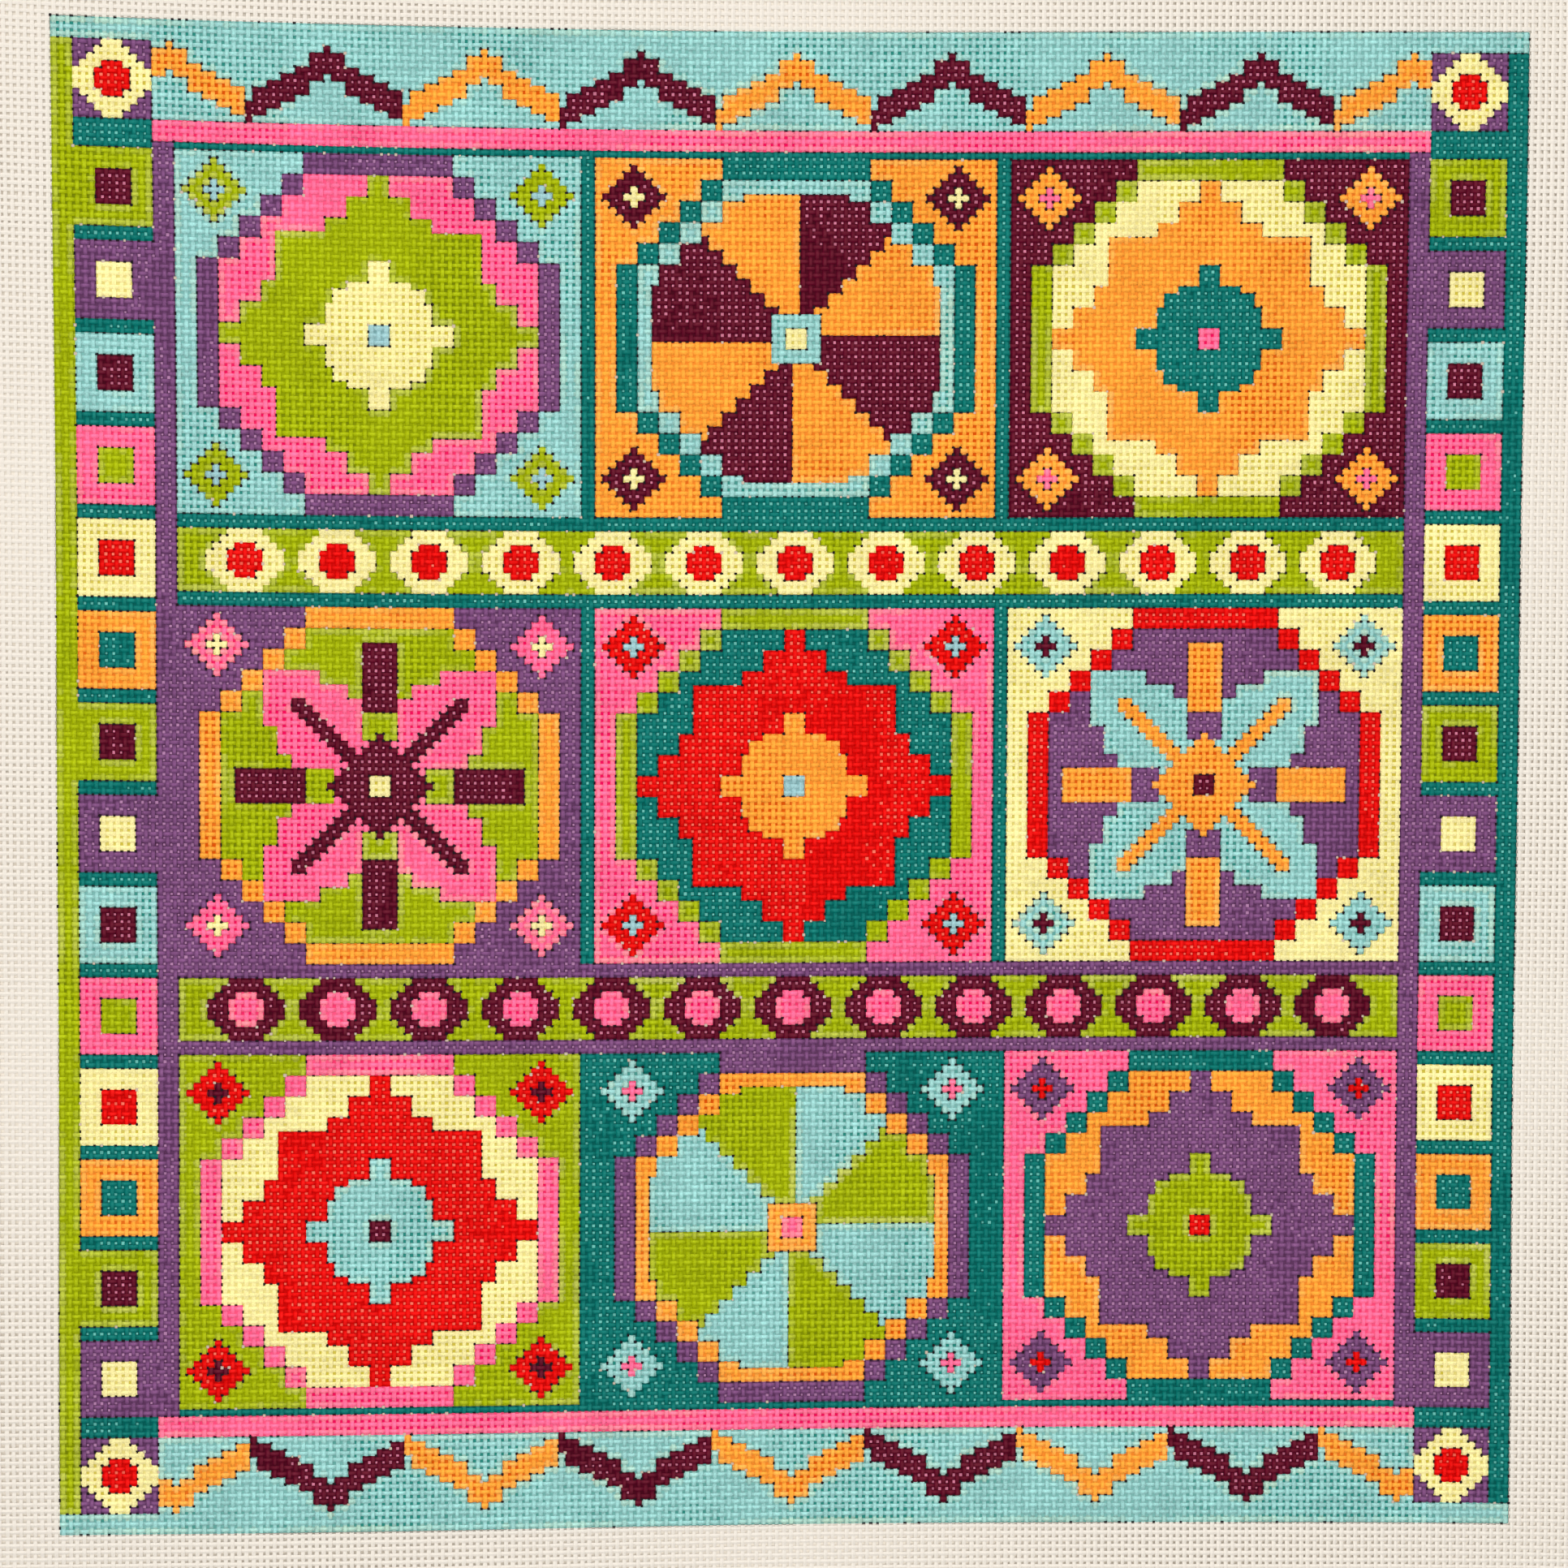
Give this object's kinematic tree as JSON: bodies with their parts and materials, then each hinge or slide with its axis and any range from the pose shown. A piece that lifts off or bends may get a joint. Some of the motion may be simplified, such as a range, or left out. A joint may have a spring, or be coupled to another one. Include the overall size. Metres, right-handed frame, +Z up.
{
  "type": "needlepoint canvas panel",
  "caption": "Flat cut piece of open mono needlepoint canvas with a hand-painted multi-colour field and a bare cream margin, not yet stitched.",
  "frame": {"origin": "on the surface the canvas lies on, under the middle of its outline", "axes": "+Z up out of the painted face, +Y along the upright threads towards the top edge, +X to the right of the face"},
  "size_m": [0.4714, 0.4848, 0.0031],
  "materials": {
    "canvas": "stiffened cotton mono canvas, matt cream thread, hand painted over the middle in matt acrylic colours"
  },
  "bodies": {
    "root": {"canvas": "canvas"}
  },
  "joints": []
}
